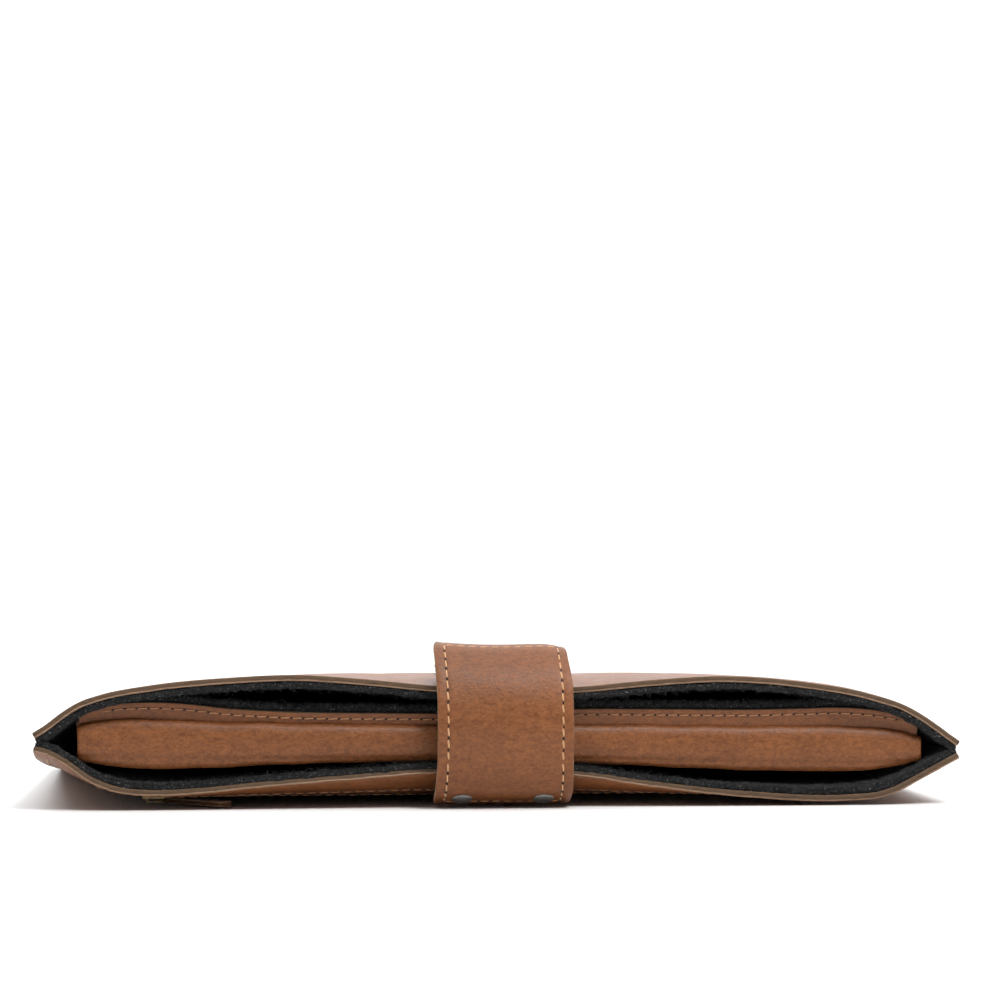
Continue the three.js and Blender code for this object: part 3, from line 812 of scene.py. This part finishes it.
def build_flap():
    """The flap is leather turned over a felt core into a long soft roll, sewn to the divider's edge."""
    ends = np.array([0, 0.1, 0.3, 0.6, 1.0, 1.6, 3.0])
    x = np.r_[FLAP_LEFT + ends, np.linspace(FLAP_LEFT + 5, FLAP_RIGHT - 5, 240), (FLAP_RIGHT - ends)[::-1]]
    sides = 56
    angle = np.arange(sides) / sides * 2 * math.pi
    lower, upper = FLAP_BOTTOM(x), FLAP_TOP(x)
    middle, half = (upper + lower) / 2, (upper - lower) / 2
    near_end = np.minimum(x - FLAP_LEFT, FLAP_RIGHT - x)
    cap = np.sqrt(np.clip(1 - (1 - np.clip(near_end / 1.1, 0, 1)) ** 2, 0.02, 1))
    rounded = 0.8
    across = np.sign(np.cos(angle)) * np.abs(np.cos(angle)) ** rounded
    up = np.sign(np.sin(angle)) * np.abs(np.sin(angle)) ** rounded
    wave = 0.16 * np.sin(x / 7.3 + 1) * np.sin(x / 23) + 0.12 * np.sin(x / 3.9)
    depth = FLAP_DEPTH / 2 * (0.8 + 0.2 * cap)
    front_pull = 0.5 * np.sin(x / 60 + 0.5)
    verts = np.zeros((len(x), sides, 3))
    verts[..., 0] = x[:, None] + 0.4 * (1 - cap[:, None]) * np.sign(x)[:, None] * np.abs(up)[None, :]
    verts[..., 1] = FLAP_FRONT + FLAP_DEPTH / 2 + (front_pull + 0.2)[:, None] + depth[:, None] * across
    verts[..., 2] = middle[:, None] + ((half - 0.9 * (1 - cap))[:, None]) * up + wave[:, None] * (across < 0)
    pinch = 0.35 * np.exp(-((up[None, :] * half[:, None] + 5.4) / 0.9) ** 2) * (across < 0)
    verts[..., 1] += pinch
    roll = make_piece("laptop_flap_roll", verts.reshape(-1, 3), tube_faces(len(x), sides), [FLAP_GRAIN])
    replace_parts(roll, "laptop_flap", "laptop_flap_felt")
    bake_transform(roll)
    build_flap_margin()


def build_flap_margin():
    """The flap's upper margin: a band that stands up behind the roll to the divider's edge."""
    x = np.linspace(FLAP_LEFT + 0.5, FLAP_RIGHT - 1, 240)
    steps = np.linspace(0, 1, 12)
    low, high = FLAP_TOP(x) - 2.2, DIVIDER_EDGE(x) + 0.15
    grid = np.zeros((len(steps), len(x), 3))
    grid[..., 0] = x
    lean = 1.6 * (1 - steps[:, None])
    grid[..., 1] = MARGIN_Y + lean
    grid[..., 2] = low + (high - low) * steps[:, None]
    piece = sheet_piece("laptop_flap_margin", grid, 1.5, [LEATHER_GRAIN, SUEDE, CUT_EDGE], rim=0.3)
    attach(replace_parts(piece, "laptop_flap_root"), "sleeve")
    inner = slice(6, -6)
    line = np.stack([x[inner], np.full(len(x[inner]), MARGIN_Y - 0.55), high[inner] - 2.1], -1)
    forward = np.tile([0, -1, 0.0], (len(line), 1))
    # These stitches use the darker thread of painted shade.
    stitch_row("flap_margin_stitches", line, forward, "sleeve", length=3.7, radius=0.26, thread=THREAD_PAINTED_SHADE)


# ---- Closure strap -----------------------------------------------------------------------

STRAP_HALF = box_mm("strap_leather")[1][0]
HINGE = hinge_mm("strap_open")
ROOT_FAR = box_mm("strap_root_leather")[1][1]
STRAP_LINING = 1.5
STRAP_LEATHER = 1.9
STRAP_INSET = 3.8
ANCHOR_LENGTH = 27
SNAP_TILT = 27
BEND_START = (0, (HINGE[1] + 7) * MM, (HINGE[2] - 1) * MM)
BEND_END = (0, (HINGE[1] - 7) * MM, (HINGE[2] - 7) * MM)
STRAP_BLEND = ("sleeve", "strap", BEND_START, BEND_END)


def strap_rest(y):
    return float(upper_outer(np.array([0.0]), np.array([y]))[0]) + 0.35


# The strap's inner face as [y, z], from its sewn end over the bend and the mouth to its tip.
STRAP_FACE = [
    *[[y, strap_rest(y)] for y in (ROOT_FAR, -50, -66, -82, -95)],
    [-101.6, 53.8], [-106, 58.2], [HINGE[1], HINGE[2] - 4], [-114, 58.6], [-121.4, 53], [-127.2, 42.6],
    [-129.4, 30], [-128.4, 20.9], [-126.5, 13.8], [-123.2, 9], [-118.6, 6.3], [-114.8, 4.8], [-112.4, 3.9],
]
STRAP_PATH, STRAP_LENGTH = resample(STRAP_FACE, 220)


def strap_grid(distance, inset=0.0, columns=84):
    """Points on the strap at a distance outwards from its inner face."""
    tangent = unit(np.gradient(STRAP_PATH, axis=0))
    outward = np.stack([tangent[:, 1], -tangent[:, 0]], 1)
    line = STRAP_PATH + outward * distance
    x = np.linspace(-1, 1, columns) * (STRAP_HALF - inset)
    grid = np.zeros((len(line), columns, 3))
    grid[..., 0] = x
    grid[..., 1:] = line[:, None, :]
    crest = smooth(line[:, 1], 44, 60)[:, None]
    hollow = 1.35 * (1 - (x / STRAP_HALF) ** 2) - 0.35
    curl = smooth(x, 0.4 * STRAP_HALF, 1.35 * STRAP_HALF) ** 1.5
    grid[..., 2] -= crest * (hollow + 3.6 * curl)[None, :]
    grid[..., 0] -= crest * (2.6 * curl)[None, :]
    waist = smooth(line[:, 1], 60, 40) * smooth(line[:, 1], 3, 20)
    grid[..., 0] *= 1 - 0.022 * waist[:, None]
    lying = smooth(line[:, 0], -102, -90)[:, None]
    across = np.broadcast_to(x, grid.shape[:2])
    back = np.broadcast_to(line[:, :1], grid.shape[:2])
    grid[..., 2] += lying * (upper_outer(across, back) - upper_outer(0 * across, back))
    behind = smooth(line[:, 0], HINGE[1] - 8, HINGE[1] + 10) * 0.13
    behind = behind + smooth(line[:, 0], HINGE[1], ROOT_FAR) * 0.13
    grid[..., 0] *= 1 - behind[:, None]
    return grid


def strap_groove(grid):
    """Depth of the furrow that the stitching pulls into the strap's face."""
    x = grid[..., 0]
    along = np.linspace(0, STRAP_LENGTH, grid.shape[0])[:, None]
    tip = STRAP_LENGTH - along - STRAP_INSET
    edge = STRAP_HALF - STRAP_INSET - np.abs(x)
    furrow = 0.34 * np.exp(-((edge / 0.9) ** 2)) + 0.3 * np.exp(-((tip / 0.9) ** 2)) * (edge > 0)
    return furrow + 0.35 * smooth(STRAP_HALF - np.abs(x), 1.6, 0.0)


def build_strap():
    lining = strap_grid(STRAP_LINING / 2, 0.25)
    piece = sheet_piece("strap_backing", lining[::-1], STRAP_LINING, [SUEDE, SUEDE, STRAP_EDGE], rim=0.3)
    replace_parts(piece, "strap_lining", "strap_root_lining")
    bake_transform(piece)
    grid = strap_grid(STRAP_LINING + STRAP_LEATHER / 2)
    outward = -grid_normals(grid)
    grid = grid - outward * (strap_groove(grid) * 0.5)[..., None]
    ripple = 0.1 * np.sin(grid[..., 0] / 6.5 + grid[..., 2] / 8) * np.sin(grid[..., 2] / 5 + 1)
    grid += outward * ripple[..., None]
    piece = sheet_piece("strap_face", grid, STRAP_LEATHER, [SUEDE, LEATHER_GRAIN, STRAP_EDGE], rim=0.35)
    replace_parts(piece, "strap_leather", "strap_root_leather")
    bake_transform(piece)


def build_strap_stitches():
    """One row down each side and across the tip, and a box where the strap is sewn to the back panel."""
    grid = strap_grid(STRAP_LINING + STRAP_LEATHER - 0.16)
    normal = -grid_normals(grid)
    along = np.linspace(0, STRAP_LENGTH, len(grid))
    columns = grid.shape[1]
    inset = int(round(STRAP_INSET / (2 * STRAP_HALF) * (columns - 1)))
    upper_half = STRAP_PATH[: len(grid) * 6 // 10, 0]
    start = int(np.argmin(np.abs(upper_half - (HINGE[1] - 4))))
    tip = int(np.argmin(np.abs(along - (STRAP_LENGTH - STRAP_INSET))))
    left, right = inset, columns - 1 - inset
    for name, column in (("left", left), ("right", right)):
        rows = slice(start, tip + 1)
        stitch_row(f"strap_stitches_{name}", grid[rows, column], normal[rows, column], None, STRAP_BLEND)
    across = slice(left, right + 1)
    for name, row in (("tip", tip), ("bend", start)):
        stitch_row(f"strap_stitches_{name}", grid[row, across], normal[row, across], None, STRAP_BLEND)
    first = int(np.argmin(np.abs(along - STRAP_INSET)))
    last = int(np.argmin(np.abs(along - ANCHOR_LENGTH)))
    for name, column in (("left", left), ("right", right)):
        rows = slice(first, last + 1)
        stitch_row(f"anchor_stitches_{name}", grid[rows, column], normal[rows, column], "sleeve")
    for name, row in (("far", first), ("near", last)):
        stitch_row(f"anchor_stitches_{name}", grid[row, across], normal[row, across], "sleeve")


# ---- Snaps -------------------------------------------------------------------------------


def turned(name, profile, centre, axis, finish, segments=48):
    """A turned piece: [radius, height] points around an axis, closed at both ends."""
    axis = unit(np.array(axis, float))
    side = unit(np.cross(axis, [1, 0, 0]))
    other = np.cross(axis, side)
    verts = []
    for radius, height in profile:
        for k in range(segments):
            a = 2 * math.pi * k / segments
            verts.append(centre + axis * height + (side * math.cos(a) + other * math.sin(a)) * radius)
    return make_piece(name, verts, tube_faces(len(profile), segments), [finish])


def build_snaps():
    tilt = math.radians(SNAP_TILT)
    axis = np.array([0, -math.sin(tilt), -math.cos(tilt)])
    dome = [
        [0.05, -0.6], [3.9, -0.6], [4.0, 0.05], [3.95, 0.3],
        [3.6, 0.52], [2.9, 0.66], [1.8, 0.78], [0.05, 0.84],
    ]
    for side in ("left", "right"):
        low, high = box_mm(f"snap_cap_{side}")
        centre = (low + high) / 2 - axis * 0.55
        piece = turned(f"snap_cap_dome_{side}", dome, centre, axis, NICKEL)
        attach(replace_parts(piece, f"snap_cap_{side}"), "strap")
        for part in ("socket", "stud"):
            dress_cad(f"snap_{part}_{side}", NICKEL)


def dress_cad(node, finish):
    """Gives a carried-over CAD node its material."""
    mesh = frame["nodes"][node].data
    mesh.materials.clear()
    mesh.materials.append(finish)


# ---- Zip ---------------------------------------------------------------------------------


def build_zip():
    low, high = box_mm("zip_teeth_front")
    centre_y = (box_mm("zip_teeth_front")[1][1] + box_mm("zip_teeth_rear")[0][1]) / 2
    ends = (-1, 1)
    tooth = np.array([(sx * 0.55, sy * 1.55, sz * 0.75) for sz in ends for sy in ends for sx in ends])
    tooth[:, 0] *= np.where(tooth[:, 1] > 0, 0.7, 1.0)
    faces = [(0, 1, 3, 2), (4, 6, 7, 5), (0, 4, 5, 1), (2, 3, 7, 6), (0, 2, 6, 4), (1, 5, 7, 3)]
    pitch = 1.7
    for side, sign in (("front", -1), ("rear", 1)):
        x = np.arange(low[0] + 1, high[0] - 1, pitch) + (0.25 if sign > 0 else -0.25) * pitch
        level = np.full(len(x), (low[2] + high[2]) / 2)
        place = np.stack([x, np.full(len(x), centre_y + sign * 0.95), level], 1)
        turn = np.tile(np.diag([1.0, -sign, 1.0]), (len(x), 1, 1))
        verts, tooth_faces = many_copies(tooth, faces, turn, place)
        piece = make_piece(f"zip_teeth_row_{side}", verts, tooth_faces, [BRASS], smooth_shading=False)
        edge = piece.modifiers.new("bevel", "BEVEL")
        edge.width = 0.2 * MM
        edge.segments = 2
        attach(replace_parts(piece, f"zip_teeth_{side}"), "sleeve")
        tape_low, tape_high = box_mm(f"zip_tape_{side}")
        tape_x = np.linspace(tape_low[0], tape_high[0], 160)
        x, y = np.meshgrid(tape_x, np.linspace(tape_low[1], tape_high[1], 8))
        middle = np.stack([x, y, (tape_low[2] + tape_high[2]) / 2 + 0.05 * np.sin(x / 3.1)], -1)
        tape = sheet_piece(f"zip_tape_cloth_{side}", middle, 0.5, [CLOTH] * 3, rim=0.15)
        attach(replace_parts(tape, f"zip_tape_{side}"), "sleeve")
    dress_cad("zip_slider", BRASS)
    dress_cad("zip_pull_ring", BRASS)


def build_pull_tab():
    """The pull tab: one strip folded round the ring and sewn, so that two layers show at its cut end."""
    low, high = box_mm("zip_pull_tab")
    ring_low, ring_high = box_mm("zip_pull_ring")
    ring = (ring_low + ring_high) / 2
    corner = np.array([high[0] - 2, low[1] + 2, (low[2] + high[2]) / 2])
    along = unit(np.array([1.0, -1.0, 0]))
    side = np.array([along[1], -along[0], 0])
    length = float((corner - ring) @ along) + 3.0
    half = 1.05
    loop_end = 5
    turn = np.linspace(math.pi / 2, 3 * math.pi / 2, 14)
    loop = [[3.0 + 1.25 * math.cos(a), half * 0.72 * math.sin(a)] for a in turn]
    upper = [[length - t * (length - loop_end), half * 0.5] for t in np.linspace(0, 1, 16)]
    lower = [[s, -z] for s, z in upper[::-1]]
    line = resample([*upper, *loop, *lower], 80)[0]
    width = np.linspace(-2.8, 2.8, 12)
    grid = np.zeros((len(line), len(width), 3))
    for k, w in enumerate(width):
        grid[:, k] = ring + line[:, :1] * along + w * side
        grid[:, k, 2] = ring[2] + line[:, 1]
    piece = sheet_piece("zip_pull_strip", grid, 0.95, [TAB_GRAIN, SUEDE, STRAP_EDGE], rim=0.2)
    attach(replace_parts(piece, "zip_pull_tab"), "pull")


# ---- Seams -------------------------------------------------------------------------------


def surface_row(name, x, y, surface, up, thread=None):
    """A stitch row at the given places on a panel's outer face."""
    step = 0.5
    dx = (surface(x + step, y) - surface(x - step, y)) / (2 * step)
    dy = (surface(x, y + step) - surface(x, y - step)) / (2 * step)
    normal = unit(np.stack([-dx, -dy, np.ones_like(dx)], -1)) * up
    stitch_row(name, np.stack([x, y, surface(x, y)], -1) + normal * 0.05, normal, "sleeve", thread=thread)


def build_seams():
    """Saddle stitching round the three closed sides, and round the zip window."""
    turn = np.linspace(0, math.pi / 2, 30)
    radius = CORNER_RADIUS - SEAM_INSET
    corner_x, corner_y = HALF_WIDTH - CORNER_RADIUS, FAR_Y - CORNER_RADIUS
    right_x = np.r_[np.full(120, HALF_WIDTH - SEAM_INSET), corner_x + radius * np.cos(turn)]
    right_y = np.r_[np.linspace(MOUTH_Y + 7, corner_y - 1, 120), corner_y + radius * np.sin(turn)]
    x = np.r_[right_x, np.linspace(corner_x - 2, -corner_x + 2, 120), -right_x[::-1]]
    y = np.r_[right_y, np.full(120, FAR_Y - SEAM_INSET), right_y[::-1]]
    surface_row("seam_stitches_back", x, y, upper_outer, 1)
    surface_row("seam_stitches_front", x, y, lower_outer, -1)
    left, right = ZIP_LOW[0] - 3, ZIP_HIGH[0] + 3
    front, rear = ZIP_LOW[1] - 3.2, ZIP_HIGH[1] + 3.2
    x = np.r_[np.linspace(left, right, 90), np.full(8, right), np.linspace(right, left, 90), np.full(8, left)]
    y = np.r_[np.full(90, front), np.linspace(front, rear, 8), np.full(90, rear), np.linspace(rear, front, 8)]
    surface_row("zip_stitches", x, y, lower_outer, -1)
    x = np.linspace(-HALF_WIDTH + 22, HALF_WIDTH - 22, 200)
    # This row under the mouth uses the darker thread of painted shade.
    surface_row("mouth_stitches_front", x, np.full(200, MOUTH_Y + 13.0), lower_outer, -1, THREAD_PAINTED_SHADE)


# ---- Camera, light and floor -------------------------------------------------------------


CAMERA_LENS = 111.2
CAMERA_SHIFT = 0.055
CAMERA_X = -0.1186
CAMERA_HEIGHT = 0.096
CAMERA_DISTANCE = 1171
CAMERA_YAW = 5.73


def build_stage():
    """A white floor and backdrop, the camera in front of the mouth, and two soft lamps."""
    far = 4000
    corners = [(-far, -far), (far, -far), (far, far), (-far, far)]
    floor = make_piece("floor", [(x, y, FLOOR_LEVEL) for x, y in corners], [(0, 1, 2, 3)], [floor_finish()])
    upright = [(-far, far, -1), (far, far, -1), (far, far, far), (-far, far, far)]
    wall = make_piece("backdrop", upright, [(0, 1, 2, 3)], [backdrop_finish()])
    camera = bpy.data.objects.new("camera", bpy.data.cameras.new("camera"))
    camera.data.lens = CAMERA_LENS
    camera.data.shift_y = CAMERA_SHIFT
    camera.data.clip_end = 50
    camera.location = (CAMERA_X, (MOUTH_Y - CAMERA_DISTANCE) * MM, CAMERA_HEIGHT)
    camera.rotation_euler = (math.radians(90), 0, -math.radians(CAMERA_YAW))
    bpy.context.scene.collection.objects.link(camera)
    bpy.context.scene.camera = camera
    area_light("overhead", (0.2, 0.3, 2.6), (0.2, 0.3, 0), 5.5, 140)
    area_light("key", (0.55, -1.15, 1.7), (0, 0, 0), 0.7, 25)
    world = bpy.data.worlds.new("studio")
    world.use_nodes = True
    world.node_tree.nodes["Background"].inputs["Color"].default_value = (1, 1, 1, 1)
    world.node_tree.nodes["Background"].inputs["Strength"].default_value = 0.25
    bpy.context.scene.world = world
    bpy.context.scene.view_settings.view_transform = "Standard"


def floor_finish():
    f = Finish("floor_white")
    tone = f.ramp(f.noise(3, 2), [(0.2, (0.86, 0.86, 0.86)), (0.8, (0.9, 0.9, 0.9))])
    return f.finish(tone, 0.75)


def backdrop_finish():
    f = Finish("backdrop_white")
    tone = f.ramp(f.noise(2, 2), [(0.0, (0.98, 0.98, 0.98)), (1.0, (1, 1, 1))])
    f.link(tone, f.shader.inputs["Emission Color"])
    f.shader.inputs["Emission Strength"].default_value = 1.05
    return f.finish((0.8, 0.8, 0.8), 0.9)


def area_light(name, location, aim, size, power):
    light = bpy.data.lights.new(name, "AREA")
    light.shape = "DISK"
    light.size = size
    light.energy = power
    lamp = bpy.data.objects.new(name, light)
    lamp.location = location
    direction = np.array(aim, float) - np.array(location, float)
    lamp.rotation_euler = Vector(direction).to_track_quat("-Z", "Y").to_euler()
    bpy.context.scene.collection.objects.link(lamp)


build_stage()
build_panels()
build_pocket_bag()
build_linings()
build_fibres()
build_divider()
build_flap()
build_strap()
build_strap_stitches()
build_snaps()
build_zip()
build_pull_tab()
build_seams()
